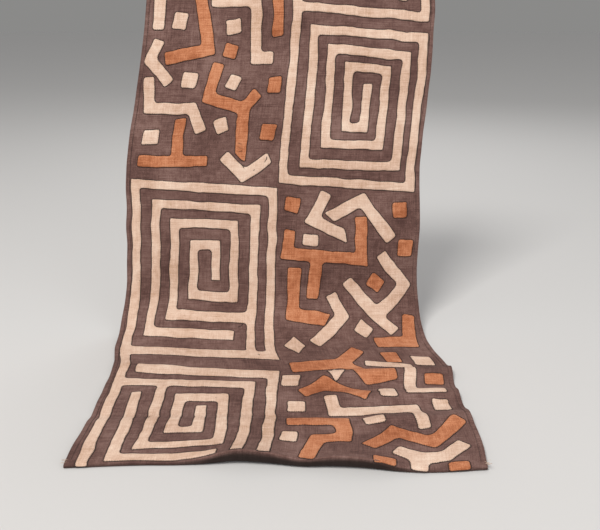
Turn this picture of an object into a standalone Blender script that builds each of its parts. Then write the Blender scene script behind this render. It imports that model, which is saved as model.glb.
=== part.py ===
"""A long raffia dance cloth: one dark ground cloth with cream and orange pieces sewn on its face.

The cloth hangs from its top edge, leans a little, sweeps forward onto the floor and lies there in
ripples, with its front end turned under. The origin is the middle of the top edge, +Z is up and
the face looks towards -Y.
"""

import math
from bisect import bisect_right

import bmesh
import bpy
from mathutils import Vector

# Driving sizes in metres.
HALF_WIDTH = 0.35
FLOOR_Z = -0.85
GROUND_THICK = 0.0015
PATCH_THICK = 0.0010
SEWN_GAP = 0.0003
HEM_WIDTH = 0.008
HEM_RAMP = 0.002
HEM_RISE = 0.0006
MITRE_LIMIT = 1.9

# The run of the cloth from its top edge: hung, swept to the floor, lying, folded, turned under.
HUNG_RUN = 0.778
SWEEP_RADIUS = 0.125
LYING_RUN = 0.463
FOLD_RUN = 0.018
FLAP_RUN = 0.110
LEAN_TOP = math.radians(10.5)
LEAN_FOOT = math.radians(15.5)
SWEEP_RUN = SWEEP_RADIUS * (math.pi / 2 - LEAN_FOOT)
FOLD_RADIUS = 0.003
FLAP_RISE_FROM = 0.160
FLAP_RISE_RUN = 0.030
LIFT_RUN = 0.110
LIFT_BACK = 0.7
FOLD_REACH = 4 / 3 * FOLD_RADIUS
REACH_FROM = 0.36

S_FOOT = HUNG_RUN
S_FLOOR = S_FOOT + SWEEP_RUN
S_FRONT = S_FLOOR + LYING_RUN
S_FLAP = S_FRONT + FOLD_RUN
S_END = S_FLAP + FLAP_RUN

# The grid that the draped cloth bends on.
HUNG_ROWS = 10
SWEEP_ROWS = 7
LYING_ROWS = 26
FOLD_ROWS = 6
FLAP_ROWS = 4
COLUMNS = 16
WELD_STEPS = 0.02
SLOPE_STEP = 0.0005

CM = 0.01

# Left and right edges of the hanging cloth: run from the top edge, x of each edge, in centimetres.
EDGES = (
    (0, -33.0, 33.3),
    (12, -33.5, 33.1),
    (30, -36.0, 32.1),
    (48, -38.7, 30.2),
    (62, -38.9, 30.3),
    (76, -39.1, 29.6),
    (85, -39.7, 30.2),
    (95, -39.5, 31.4),
    (104, -37.9, 33.4),
    (114, -37.4, 33.4),
    (124, -37.4, 33.8),
    (132, -37.7, 34.1),
    (141, -37.9, 33.6),
    (143, -37.9, 33.5),
    (152, -37.0, 32.9),
    (160, -37.0, 32.9),
)

# How far the front end reaches past its straight line: place across, reach, in centimetres.
FRONT_REACH = (
    (-35, 0.3),
    (-22, -0.5),
    (0, 0.3),
    (25, 1.6),
    (35, 0.8),
)

# How high the front fold stands off the floor: place across, lift, in centimetres.
FRONT_LIFT = (
    (-17, 0.0),
    (-12, 0.9),
    (-6.5, 2.6),
    (-2, 2.4),
    (5, 1.2),
    (9, 1.9),
    (15, 1.9),
    (21, 0.5),
    (25, 0.0),
)

# Ripples of the lying cloth, in centimetres:
# left end across and along, right end across and along, height, half width.
# An end past 35 lies outside the cloth, so that the ripple runs out over its edge.
RIPPLES = (
    (3, 110.7, 42, 107.2, 1.5, 2.3),
    (4, 118.7, 42, 115.9, 1.1, 2.3),
    (14, 126.0, 42, 124.6, 1.2, 2.3),
    (-42, 104.0, -18, 106.5, 0.5, 3.0),
    (-42, 120.5, -22, 119.5, 0.4, 3.0),
    (-42, 113.5, 2, 114.5, 0.25, 3.5),
)
RIPPLE_FADE = 0.06

# How much longer a sewn piece is cut along the cloth than across it: place along, stretch.
STRETCH = (
    (0, 1.0),
    (78, 1.0),
    (84, 1.2),
    (89, 1.42),
    (96, 1.6),
    (106, 1.6),
    (112, 1.35),
    (118, 1.28),
    (126, 1.0),
    (160, 1.0),
)

CREAM = (0.72, 0.51, 0.37, 1.0)
ORANGE = (0.60, 0.22, 0.09, 1.0)
BROWN = (0.19, 0.11, 0.095, 1.0)

# Strips sewn on the face, in centimetres: name, colour, width, share of the stretch, routes of
# places across and along.
# Routes that share a point are cut as one branching piece.
# A third number at an end is how much farther one side of its slanted cut reaches.
STRIPS = (
    ("cream_bar_top", "cream", 2.8, 1, (((-32, 3.5), (-31.5, 17.5)),)),
    ("orange_elbow_top", "orange", 3.0, 1, (((-22.5, 7), (-19, 22), (-29.3, 24.1)),)),
    ("cream_hook_top", "cream", 2.7, 1, (((-19, 11), (-8.5, 11), (-7.3, 24.0), (-3.2, 23.8)),)),
    ("orange_bar_top", "orange", 2.6, 1, (((-3.3, 5), (-2.5, 19)),)),
    ("cream_chevron_left", "cream", 2.6, 1, (((-31, 19.8), (-32.6, 24.5), (-27.3, 29.7)),)),
    ("orange_fork", "orange", 2.8, 1, (((-16, 25), (-17.5, 33), (-8.5, 35.5)),
                                       ((-5.8, 31.7), (-8.5, 35.5), (-8.1, 47, 2.4)))),
    ("cream_zigzag", "cream", 2.6, 1, (((-32.5, 28.2), (-31.5, 35.5), (-21, 35.5), (-18.2, 41)),)),
    ("orange_tee", "orange", 2.7, 1, (((-23.5, 37.8), (-23, 47.7)),
                                      ((-32.5, 47.7), (-23, 47.7), (-15.8, 47.7)))),
    ("cream_vee", "cream", 2.7, 1, (((-12, 46.5), (-7, 51.2), (-1, 47)),)),
    ("cream_elbow_right", "cream", 2.8, 1, (((12.8, 55.1), (9.4, 61.5), (17.6, 65.5, -2.2)),)),
    ("cream_chevron_right", "cream", 2.9, 1, (((13.4, 60.9, -1.2), (21.3, 57.0), (28.4, 66.2)),)),
    ("orange_cup", "orange", 2.9, 1, (((4, 64), (3.5, 69.5), (11, 70.1), (21.5, 71), (20.8, 60.8)),
                                      ((11, 70.1), (9.6, 80.4)))),
    ("cream_fork", "cream", 2.7, 1, (((26, 69.5), (32, 77), (25, 84.6)),
                                     ((18, 76), (25, 84.6), (28.5, 89)))),
    ("orange_elbow_middle", "orange", 3.0, 1, (((5.5, 72.7), (5, 84), (13.3, 85.6, 1.4)),)),
    ("cream_elbow_middle", "cream", 2.8, 1, (((14, 79.2), (16.8, 84.5), (9.4, 93.4)),)),
    ("orange_corner", "orange", 2.9, 1, (((32.2, 84.3), (31.2, 93), (23, 93)),)),
    ("orange_branch", "orange", 2.8, 1, (((18.3, 96.5), (13.5, 103), (2.2, 104.9)),
                                         ((13.5, 103), (18, 110.6), (23.3, 109)))),
    ("cream_step_right", "cream", 2.5, 0, (((17.8, 103.2), (26.5, 104.6), (26, 116), (32.8, 116)),)),
    ("orange_chevron", "orange", 2.8, 1, (((4.2, 116.0), (8.7, 112.9), (17.4, 117.7)),)),
    ("cream_step_middle", "cream", 2.5, 1, (((9.7, 118.3), (10.2, 122.8), (25.2, 121.6),
                                             (25.9, 128.8)),)),
    ("orange_curl", "orange", 3.0, 1, (((1.2, 127), (11.3, 126.5), (11.2, 132.2), (6.6, 132.9),
                                        (5, 140.3)),)),
    ("orange_wave", "orange", 3.0, 1, (((15.3, 135), (20.3, 129.9), (26.5, 132.8), (32.7, 126.5)),)),
    ("cream_horn", "cream", 3.0, 1, (((19.9, 135.6), (24.0, 137.6), (28.4, 137), (32, 133.5)),
                                     ((24.0, 137.6), (23.7, 141)))),
    ("frame_left", "cream", 2.1, 1.3, (((-32.7, 96.5), (-32.7, 75), (-32.7, 53), (0, 55), (-0.4, 77),
                                      (-0.8, 99.6), (-4.9, 99.2), (-32.7, 96.5)),
                                     ((-32.7, 96.5), (-32.7, 111.4), (-32.1, 141.2)),
                                     ((-13.5, 76), (-13.8, 67.5), (-18.8, 67.5), (-19, 79.5),
                                      (-9.2, 80), (-9.3, 62.8), (-23.5, 62.3), (-23.7, 84.2),
                                      (-4.7, 85.2)),
                                     ((-4.9, 99.2), (-4.7, 85.2), (-4.2, 59), (-28, 57.8),
                                      (-28.3, 88.9), (-8.8, 90.5)),
                                     ((-32.7, 111.4), (-23.5, 112), (-6, 113), (-6.5, 140.3)),
                                     ((-23.5, 112), (-23.5, 135.8), (-10.4, 135.4), (-11, 118),
                                      (-19.4, 118), (-19.3, 130.7), (-14.7, 130.7),
                                      (-15, 120.9)))),
    ("band_middle", "cream", 2.1, 1.3, (((-30, 105.9), (-1.5, 108.2), (-2.2, 140.3)),)),
    ("elbow_front", "cream", 2.1, 1.3, (((-28.3, 116), (-27.5, 139.3), (-10, 139.2)),)),
    ("spiral_right", "cream", 2.1, 1, (((1.3, 3.5), (1.5, 12), (2.5, 52), (32.8, 54), (32.8, 19.3),
                                        (6.2, 17.2), (7.3, 48.3), (29.3, 49), (28.9, 23.4),
                                        (10.8, 21.7), (11.8, 43.7), (24.8, 44), (24.4, 26.6),
                                        (15.4, 25.8), (16.3, 39.7), (20.5, 40), (20.3, 29.8)),
                                       ((1.5, 12), (32.6, 14.6), (32.8, 3.5)))),
    ("meander_top", "cream", 2.2, 1, (((6, 4.5), (27.4, 4.5), (27.4, 11.0)),)),
)

# Small squares sewn on the face: colour, place across, place along, width, length in centimetres,
# turn in degrees.
SQUARES = (
    ("cream", -26.5, 15.5, 3.4, 3.7, 3),
    ("cream", -13.5, 16.7, 3.4, 3.4, -8),
    ("orange", -13.5, 22.3, 3.3, 3.1, 12),
    ("cream", -22.5, 29, 3.6, 3.6, 5),
    ("cream", -12, 29.5, 3.1, 3.1, 22),
    ("orange", -2, 30, 3.3, 3.8, -4),
    ("cream", -30, 42.2, 4.0, 3.4, 3),
    ("cream", -13.5, 39.5, 3.2, 3.6, -22),
    ("orange", -2, 41, 3.6, 3.8, 3),
    ("orange", 4.7, 58, 3.4, 3.5, 12),
    ("orange", 30.3, 59.3, 3.4, 3.7, -3),
    ("cream", 9, 66.4, 3.8, 2.8, 3),
    ("orange", 31.9, 68.3, 3.6, 3.9, 2),
    ("orange", 25, 76.5, 3.6, 3.3, 34),
    ("cream", 21.3, 88.3, 3.3, 3.2, 40),
    ("cream", 5, 94.5, 3.6, 3.6, 45),
    ("orange", 24.5, 100.2, 3.6, 3.0, 0),
    ("cream", 30.6, 102, 4.2, 2.8, 5),
    ("cream", 11.2, 109, 3.0, 2.7, 45),
    ("orange", 31.0, 110.9, 3.9, 2.2, 0),
    ("cream", 2.1, 110.6, 3.5, 3.4, 0),
    ("cream", 21.2, 116.2, 3.4, 3.2, 0),
    ("cream", 30.9, 120.4, 3.2, 3.1, 0),
    ("cream", 3.2, 121, 3.4, 3.2, 2),
    ("cream", 17.2, 126.2, 3.7, 2.8, -4),
    ("cream", 1.6, 132.4, 2.9, 3.6, 4),
    ("orange", 18, 139.5, 4.0, 2.2, 0),
    ("orange", 30.3, 140, 3.6, 2.4, 0),
)


def stops(start, end, count):
    """Evenly spaced values from start to end."""
    return [start + (end - start) * i / count for i in range(count + 1)]


def rows_of_cloth():
    """Places along the cloth where the drape bends."""
    marks = [0.0, HEM_WIDTH, HEM_WIDTH + HEM_RAMP]
    marks += stops(0.0, S_FOOT, HUNG_ROWS)[1:]
    marks += stops(S_FOOT, S_FLOOR, SWEEP_ROWS)[1:]
    marks += stops(S_FLOOR, S_FRONT, LYING_ROWS)[1:]
    marks += stops(S_FRONT, S_FLAP, FOLD_ROWS)[1:]
    marks += stops(S_FLAP, S_END, FLAP_ROWS)[1:]
    return marks


def columns_of_cloth():
    """Places across the cloth where the drape bends: the hems and an even division."""
    hem = HALF_WIDTH - HEM_WIDTH
    body = hem - HEM_RAMP
    return [-HALF_WIDTH, -hem] + stops(-body, body, COLUMNS) + [hem, HALF_WIDTH]


ROWS = rows_of_cloth()
COLS = columns_of_cloth()
GRID_FROM = ROWS.index(S_FLOOR)


def smooth(value):
    """A soft step from 0 to 1."""
    t = min(max(value, 0.0), 1.0)
    return t * t * (3 - 2 * t)


def read_table(table, place, column=1):
    """Softly interpolated value of a table in centimetres, at a place in metres."""
    at = place / CM
    first = table[0]
    if at <= first[0]:
        return first[column] * CM
    for low, high in zip(table, table[1:]):
        if at <= high[0]:
            share = smooth((at - low[0]) / (high[0] - low[0]))
            return (low[column] + (high[column] - low[column]) * share) * CM
    return table[-1][column] * CM


def edge_x(along, column):
    """The x of the cloth's left or right edge, straight between the table's rows."""
    at = along / CM
    for low, high in zip(EDGES, EDGES[1:]):
        if at <= high[0]:
            share = (at - low[0]) / (high[0] - low[0])
            return (low[column] + (high[column] - low[column]) * share) * CM
    return EDGES[-1][column] * CM


def ripple_height(across, along):
    """Height of the ripples of the lying cloth."""
    height = 0.0
    for u0, s0, u1, s1, rise, half in RIPPLES:
        share = (across / CM - u0) / (u1 - u0)
        crest = (s0 + (s1 - s0) * share) * CM
        run = (u1 - u0) * CM
        fade = smooth(share * run / RIPPLE_FADE) * smooth((1 - share) * run / RIPPLE_FADE)
        height += rise * CM * fade * math.exp(-(((along - crest) / (half * CM)) ** 2))
    return height


def hung_point(along):
    """Side profile of the hanging part: y and z below the top edge."""
    lean = LEAN_TOP + (LEAN_FOOT - LEAN_TOP) * along / HUNG_RUN / 2
    return -along * math.sin(lean), -along * math.cos(lean)


def profile(along):
    """Side profile down to the floor, scaled so that the sweep meets the floor."""
    lying = FLOOR_Z + GROUND_THICK / 2
    foot_y, foot_z = hung_point(HUNG_RUN)
    sweep_top = lying + SWEEP_RADIUS * (1 - math.sin(LEAN_FOOT))
    if along <= S_FOOT:
        y, z = hung_point(along)
        return y, z * sweep_top / foot_z
    lean = LEAN_FOOT + (min(along, S_FLOOR) - S_FOOT) / SWEEP_RADIUS
    y = foot_y - SWEEP_RADIUS * (math.cos(LEAN_FOOT) - math.cos(lean))
    z = lying + SWEEP_RADIUS * (1 - math.sin(lean))
    return y - max(0.0, along - S_FLOOR), z


def lying_point(across, along):
    """A point of the cloth up to its front fold, at the middle of its thickness."""
    y, z = profile(along)
    share = (across + HALF_WIDTH) / (2 * HALF_WIDTH)
    x = edge_x(along, 1) + (edge_x(along, 2) - edge_x(along, 1)) * share
    if along > S_FLOOR:
        over_flap = smooth((along - S_FRONT + FLAP_RISE_FROM) / FLAP_RISE_RUN)
        lift = max(0.0, 1 - (S_FRONT - along) / LIFT_RUN)
        ends = smooth((along - S_FLOOR) / RIPPLE_FADE) * smooth((S_FRONT - along) / RIPPLE_FADE)
        z += 2 * FOLD_RADIUS * over_flap
        z += ripple_height(across, along) * ends
        z += read_table(FRONT_LIFT, across) * lift * lift
        y -= read_table(FRONT_REACH, across) * smooth(1 - (S_FRONT - along) / REACH_FROM)
    return Vector((x, y, z))


def fold_point(across, along):
    """A point of the front fold or of the flap turned under it."""
    front = lying_point(across, S_FRONT)
    lift = read_table(FRONT_LIFT, across)
    x = edge_x(along, 1) + (edge_x(along, 2) - edge_x(along, 1)) * (across / HALF_WIDTH + 1) / 2
    low = Vector((x, front.y + lift * LIFT_BACK, FLOOR_Z + GROUND_THICK / 2))
    high = Vector((x, front.y, front.z))
    if along >= S_FLAP:
        return low + Vector((0, along - S_FLAP, 0))
    t = (along - S_FRONT) / FOLD_RUN
    slope = 2 * lift / LIFT_RUN
    over = high + Vector((0, -FOLD_REACH, FOLD_REACH * slope))
    under = low + Vector((0, -FOLD_REACH - lift * LIFT_BACK / 2, 0))
    return (high * (1 - t) ** 3 + over * 3 * t * (1 - t) ** 2
            + under * 3 * t * t * (1 - t) + low * t ** 3)


def cloth_point(across, along):
    """The middle of the cloth's thickness at a place across and along it."""
    if along > S_FRONT:
        return fold_point(across, along)
    return lying_point(across, along)


def cloth_normal(across, along):
    """The direction in which the cloth's face looks."""
    side = cloth_point(across + SLOPE_STEP, along) - cloth_point(across - SLOPE_STEP, along)
    down = cloth_point(across, along + SLOPE_STEP) - cloth_point(across, along - SLOPE_STEP)
    return down.cross(side).normalized()


def hem_rise(column, row):
    """Extra height of the hems on the face: the top hem and the two side hems."""
    if ROWS[row] > S_FRONT:
        return 0.0
    at_side = column in (0, 1, len(COLS) - 2, len(COLS) - 1)
    at_top = row < 2
    return HEM_RISE if at_side or at_top else 0.0


POINTS = [[cloth_point(u, s) for u in COLS] for s in ROWS]
NORMALS = [[cloth_normal(u, s) for u in COLS] for s in ROWS]


def grid_place(value, marks):
    """A place as a count of grid steps."""
    low = min(max(bisect_right(marks, value) - 1, 0), len(marks) - 2)
    return low + (value - marks[low]) / (marks[low + 1] - marks[low])


def grid_layer(column, row, height, on_face):
    """A grid point moved off the middle of the cloth."""
    rise = hem_rise(column, row) if on_face else 0.0
    return POINTS[row][column] + NORMALS[row][column] * (height + rise)


def drape(place, height, on_face):
    """A point of the flat cutting plan, laid on the draped cloth at a height off its middle."""
    column = min(int(place.x), len(COLS) - 2)
    row = min(int(place.y), len(ROWS) - 2)
    a = place.x - column
    b = place.y - row
    near = [grid_layer(column + i, row + j, height, on_face) for j in (0, 1) for i in (0, 1)]
    if row < GRID_FROM:
        upper = near[0].lerp(near[1], a)
        lower = near[2].lerp(near[3], a)
        return upper.lerp(lower, b)
    if a + b <= 1:
        return near[0] + (near[1] - near[0]) * a + (near[2] - near[0]) * b
    return near[3] + (near[2] - near[3]) * (1 - a) + (near[1] - near[3]) * (1 - b)


def cut(mesh, point, normal, start):
    """Cut the flat pieces along a line, where they lie further along the cloth than start."""
    faces = [f for f in mesh.faces if f.calc_center_median().y > start]
    edges = {e for f in faces for e in f.edges}
    verts = {v for f in faces for v in f.verts}
    bmesh.ops.bisect_plane(mesh, geom=list(verts) + list(edges) + faces, dist=1e-6,
                           plane_co=point, plane_no=normal)


def cut_on_grid(mesh, hems):
    """Cut a flat plan wherever the drape bends, and turn its places into grid steps."""
    low = min(v.co.y for v in mesh.verts)
    high = max(v.co.y for v in mesh.verts)
    left = min(v.co.x for v in mesh.verts)
    right = max(v.co.x for v in mesh.verts)
    for s in ROWS[1:-1]:
        if low < s < high:
            cut(mesh, (0, s, 0), (0, 1, 0), 0.0)
    for index, u in enumerate(COLS[1:-1], 1):
        if left < u < right:
            at_hem = hems and index in (1, 2, len(COLS) - 3, len(COLS) - 2)
            cut(mesh, (u, 0, 0), (1, 0, 0), 0.0 if at_hem else S_FLOOR)
    for v in mesh.verts:
        v.co.x = grid_place(v.co.x, COLS)
        v.co.y = grid_place(v.co.y, ROWS)
    for total in range(GRID_FROM, len(COLS) + len(ROWS)):
        cut(mesh, (total - GRID_FROM, GRID_FROM, 0), (1, 1, 0), GRID_FROM)
    bmesh.ops.remove_doubles(mesh, verts=mesh.verts[:], dist=WELD_STEPS)
    bmesh.ops.dissolve_degenerate(mesh, edges=mesh.edges[:], dist=WELD_STEPS)


def sew(name, mesh, bottom, top, material, ground=False):
    """Give a flat plan its thickness, lay it on the draped cloth and make its object."""
    cut_on_grid(mesh, ground)
    grown = bmesh.ops.extrude_face_region(mesh, geom=mesh.faces[:], use_keep_orig=True)
    upper = {v for v in grown["geom"] if isinstance(v, bmesh.types.BMVert)}
    for v in mesh.verts:
        if v in upper:
            v.co = drape(v.co.copy(), top, True)
        else:
            v.co = drape(v.co.copy(), bottom, not ground)
    bmesh.ops.triangulate(mesh, faces=mesh.faces[:])
    bmesh.ops.recalc_face_normals(mesh, faces=mesh.faces[:])
    data = bpy.data.meshes.new(name)
    mesh.to_mesh(data)
    mesh.free()
    data.materials.append(material)
    piece = bpy.data.objects.new(name, data)
    bpy.context.scene.collection.objects.link(piece)
    return piece


def turned(direction, angle):
    """A flat direction turned by an angle."""
    c = math.cos(angle)
    s = math.sin(angle)
    return Vector((direction.x * c - direction.y * s, direction.x * s + direction.y * c, 0))


def corner(first, second, half):
    """Where the sides of two strips meet, measured from their shared point."""
    opening = (math.atan2(second.y, second.x) - math.atan2(first.y, first.x)) % (2 * math.pi)
    return turned(first, opening / 2) * min(half / math.sin(opening / 2), MITRE_LIMIT * half)


def lengthened(arm, along, share):
    """An arm of a plan with the stretch of its place along the cloth."""
    stretch = read_table(STRETCH, along) / CM
    return Vector((arm.x, arm.y * (1 + (stretch - 1) * share), 0))


def strip_plan(routes, width, share):
    """A flat plan of strips of one width that follow routes and join where routes share a point."""
    links = {}
    for route in routes:
        for a, b in zip(route, route[1:]):
            links.setdefault(a, []).append(b)
            links.setdefault(b, []).append(a)
    mesh = bmesh.new()
    half = width * CM / 2
    sides = {}
    for point, others in links.items():
        centre = Vector((point[0], point[1], 0)) * CM
        ways = sorted((math.atan2(o[1] - point[1], o[0] - point[0]), o) for o in others)
        rays = [Vector((math.cos(angle), math.sin(angle), 0)) for angle, _ in ways]
        if len(ways) == 1:
            skew = point[2] * CM / 2 if len(point) > 2 else 0.0
            arms = [turned(rays[0], math.pi / 2 * k) * half - rays[0] * (skew * k)
                    for k in (1, -1)]
        else:
            arms = [corner(rays[i], rays[(i + 1) % len(rays)], half) for i in range(len(rays))]
        ring = [mesh.verts.new(centre + lengthened(arm, centre.y, share)) for arm in arms]
        if len(ways) == 1:
            sides[point, ways[0][1]] = ring
            continue
        for i, (_, other) in enumerate(ways):
            sides[point, other] = [ring[i], ring[i - 1]]
        if len(ring) > 2:
            mesh.faces.new(ring)
    for route in routes:
        for a, b in zip(route, route[1:]):
            left_a, right_a = sides[a, b]
            left_b, right_b = sides[b, a]
            mesh.faces.new((right_a, left_b, right_b, left_a))
    return mesh


def square_plan(across, along, width, length, turn):
    """A flat plan of one small square."""
    mesh = bmesh.new()
    corners = []
    for i, j in ((-1, -1), (1, -1), (1, 1), (-1, 1)):
        arm = turned(Vector((i * width / 2, j * length / 2, 0)), math.radians(turn))
        arm = lengthened(arm, along * CM, 1)
        corners.append(mesh.verts.new((Vector((across, along, 0)) + arm) * CM))
    mesh.faces.new(corners)
    return mesh


def ground_plan():
    """The flat plan of the whole ground cloth."""
    mesh = bmesh.new()
    corners = ((-HALF_WIDTH, 0), (HALF_WIDTH, 0), (HALF_WIDTH, S_END), (-HALF_WIDTH, S_END))
    mesh.faces.new([mesh.verts.new((u, s, 0)) for u, s in corners])
    return mesh


def raffia(name, colour):
    """A dry, matt fibre cloth of one colour."""
    material = bpy.data.materials.new(name)
    material.use_nodes = True
    shader = material.node_tree.nodes["Principled BSDF"]
    shader.inputs["Base Color"].default_value = colour
    shader.inputs["Roughness"].default_value = 0.9
    return material


def main():
    for old in list(bpy.data.objects):
        bpy.data.objects.remove(old, do_unlink=True)
    materials = {
        "brown": raffia("brown raffia", BROWN),
        "cream": raffia("cream raffia", CREAM),
        "orange": raffia("orange raffia", ORANGE),
    }
    half = GROUND_THICK / 2
    sew("ground_cloth", ground_plan(), -half, half, materials["brown"], ground=True)
    low = half + SEWN_GAP
    high = low + PATCH_THICK
    for name, colour, width, share, routes in STRIPS:
        sew(name, strip_plan(routes, width, share), low, high, materials[colour])
    for number, (colour, *sizes) in enumerate(SQUARES, 1):
        sew(f"{colour}_square_{number:02d}", square_plan(*sizes), low, high, materials[colour])


main()
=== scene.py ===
# %% [markdown]
# A raffia dance cloth, hung from its top edge and swept forward onto a floor.
#
# The real thing is a long, dry, slightly stiff cloth of woven palm fibre, dyed dark brown, with
# cream and orange pieces of the same cloth cut by hand and sewn down on its face. This script
# makes it in the order in which a maker would: first the ground cloth and the way it hangs, then
# the pieces, cut flat and laid on it, and last the needlework.

# %% Load the measured model
import math

import bmesh
import bpy
import numpy as np
from mathutils import Matrix, Vector


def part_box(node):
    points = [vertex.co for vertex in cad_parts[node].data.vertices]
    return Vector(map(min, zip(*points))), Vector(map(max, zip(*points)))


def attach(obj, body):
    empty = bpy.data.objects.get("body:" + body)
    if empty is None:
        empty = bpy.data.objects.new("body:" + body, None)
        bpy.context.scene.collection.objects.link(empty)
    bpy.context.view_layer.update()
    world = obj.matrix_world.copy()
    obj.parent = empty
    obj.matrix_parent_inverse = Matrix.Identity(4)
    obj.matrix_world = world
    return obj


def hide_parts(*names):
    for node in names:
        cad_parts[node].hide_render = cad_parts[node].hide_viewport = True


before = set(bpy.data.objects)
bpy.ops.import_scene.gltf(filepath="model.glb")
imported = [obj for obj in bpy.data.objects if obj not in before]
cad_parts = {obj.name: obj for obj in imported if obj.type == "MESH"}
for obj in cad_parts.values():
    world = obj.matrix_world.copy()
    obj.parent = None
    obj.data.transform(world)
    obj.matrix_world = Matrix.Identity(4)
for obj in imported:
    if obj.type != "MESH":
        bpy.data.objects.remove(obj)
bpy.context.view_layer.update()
print("nodes in the measured model:", len(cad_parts))

# %% [markdown]
# The measured model gives the outer sizes. What it can't give is the way along the cloth, so the
# run of the cloth is written here once more: hung, swept to the floor, lying, folded and turned
# under. Two measures name every place on the cloth, as on a cutting table: across, from its
# middle, and along, from its top edge.

# %% The cloth's sizes
CM = 0.01
HALF_WIDTH = 0.35
FLOOR_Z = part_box("ground_cloth")[0][2]
GROUND_THICK = 0.0015
HUNG_RUN = 0.778
SWEEP_RADIUS = 0.125
LEAN_TOP = math.radians(10.5)
LEAN_FOOT = math.radians(15.5)
SWEEP_RUN = SWEEP_RADIUS * (math.pi / 2 - LEAN_FOOT)
FOLD_RUN = 0.018
FLAP_RUN = 0.110
S_FLOOR = HUNG_RUN + SWEEP_RUN
S_FRONT = S_FLOOR + 0.463
S_FLAP = S_FRONT + FOLD_RUN
S_END = S_FLAP + FLAP_RUN
print(f"cloth length {S_END:.3f} m, floor at {FLOOR_Z:.3f} m")

# %% [markdown]
# The camera comes first, because everything is judged through it. It stands 1.9 m in front of the
# cloth's top edge, 78 cm above the floor, and looks down by about 18 degrees. A small vertical
# shift frames the cloth as in the photograph, with its upper end outside the picture. The
# standard view keeps the dyes in the tones that they were given.

# %% Camera
PICTURE_WIDTH_PX = 600
FOCAL_PX = 780
SENSOR_MM = 36.0
CAMERA_PLACE = (0.02, -1.898, FLOOR_Z + 0.778)
CAMERA_TILT = math.radians(17.8)
CAMERA_SHIFT = -0.05

lens = bpy.data.cameras.new("studio camera")
lens.sensor_fit = "HORIZONTAL"
lens.sensor_width = SENSOR_MM
lens.lens = FOCAL_PX * SENSOR_MM / PICTURE_WIDTH_PX
lens.shift_y = CAMERA_SHIFT
lens.clip_start = 0.05
camera = bpy.data.objects.new("studio camera", lens)
camera.location = CAMERA_PLACE
camera.rotation_euler = (math.pi / 2 - CAMERA_TILT, 0, 0)
bpy.context.scene.collection.objects.link(camera)
bpy.context.scene.camera = camera
bpy.context.scene.view_settings.view_transform = "Standard"
print(f"lens {lens.lens:.1f} mm")

# %% [markdown]
# A cloth's folds are smooth, so each short table of measurements is read as a smooth curve
# through its rows (a Hermite curve, whose slope at each row comes from its two neighbours). All
# of this is numpy, so that a whole mesh is laid on the cloth in one call.


# %% Curves through short tables
class Curve:
    """A smooth curve through rows of centimetres, read in metres."""

    def __init__(self, table, column=1):
        rows = np.array([(row[0], row[column]) for row in table], float) * CM
        self.place = rows[:, 0]
        self.value = rows[:, 1]
        self.slope = np.gradient(self.value, self.place)

    def __call__(self, place):
        x = np.clip(place, self.place[0], self.place[-1])
        k = np.clip(np.searchsorted(self.place, x) - 1, 0, len(self.place) - 2)
        run = self.place[k + 1] - self.place[k]
        t = (x - self.place[k]) / run
        rise = (3 - 2 * t) * t * t
        return (self.value[k] * (1 - rise) + self.value[k + 1] * rise
                + run * t * (1 - t) * ((1 - t) * self.slope[k] - t * self.slope[k + 1]))


def smooth(value):
    """A soft step from 0 to 1."""
    t = np.clip(value, 0.0, 1.0)
    return t * t * (3 - 2 * t)


NOISE_CELLS = 256
NOISE_SHIFT = (64, 16)


def unevenness(across, along, size, seed):
    """Soft random heights between -1 and 1 that change over about one size."""
    grid = np.random.default_rng(seed).uniform(-1, 1, (NOISE_CELLS, NOISE_CELLS))
    x = across / size + NOISE_SHIFT[0]
    y = along / size + NOISE_SHIFT[1]
    i = np.floor(x).astype(int)
    j = np.floor(y).astype(int)
    a = smooth(x - i)
    b = smooth(y - j)
    i_next = (i + 1) % NOISE_CELLS
    j_next = (j + 1) % NOISE_CELLS
    i = i % NOISE_CELLS
    j = j % NOISE_CELLS
    low = grid[i, j] * (1 - a) + grid[i_next, j] * a
    high = grid[i, j_next] * (1 - a) + grid[i_next, j_next] * a
    return low * (1 - b) + high * b


print("half way up a soft step:", float(smooth(0.5)))

# %% [markdown]
# Four tables hold what is uneven about this cloth: where its two edges run, how far its front end
# reaches, how high the front fold stands off the floor, and the ripples that the lying part makes
# where it was pushed together. A ripple is a long low ridge with a round top.

# %% Tables of the drape
# Run from the top edge, x of the left and of the right edge.
EDGES = (
    (0, -33.0, 33.3),
    (12, -33.5, 33.1),
    (30, -36.0, 32.1),
    (48, -38.7, 30.2),
    (62, -38.9, 30.3),
    (76, -39.1, 29.6),
    (85, -39.7, 30.2),
    (95, -39.5, 31.4),
    (104, -37.9, 33.4),
    (114, -37.4, 33.4),
    (124, -37.4, 33.8),
    (132, -37.7, 34.1),
    (141, -37.9, 33.6),
    (143, -37.9, 33.5),
    (152, -37.0, 32.9),
    (160, -37.0, 32.9),
)
# Place across, reach of the front end past its straight line.
FRONT_REACH = (
    (-35, 0.3),
    (-22, -0.5),
    (0, 0.3),
    (25, 1.6),
    (35, 0.8),
)
# Place across, height of the front fold above its rest.
FRONT_LIFT = (
    (-35, 0.0),
    (-22, 0.0),
    (-17, 0.05),
    (-12, 0.9),
    (-6.5, 2.6),
    (-2, 2.4),
    (5, 1.2),
    (9, 1.9),
    (15, 1.9),
    (21, 0.5),
    (25, 0.0),
    (35, 0.0),
)
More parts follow.
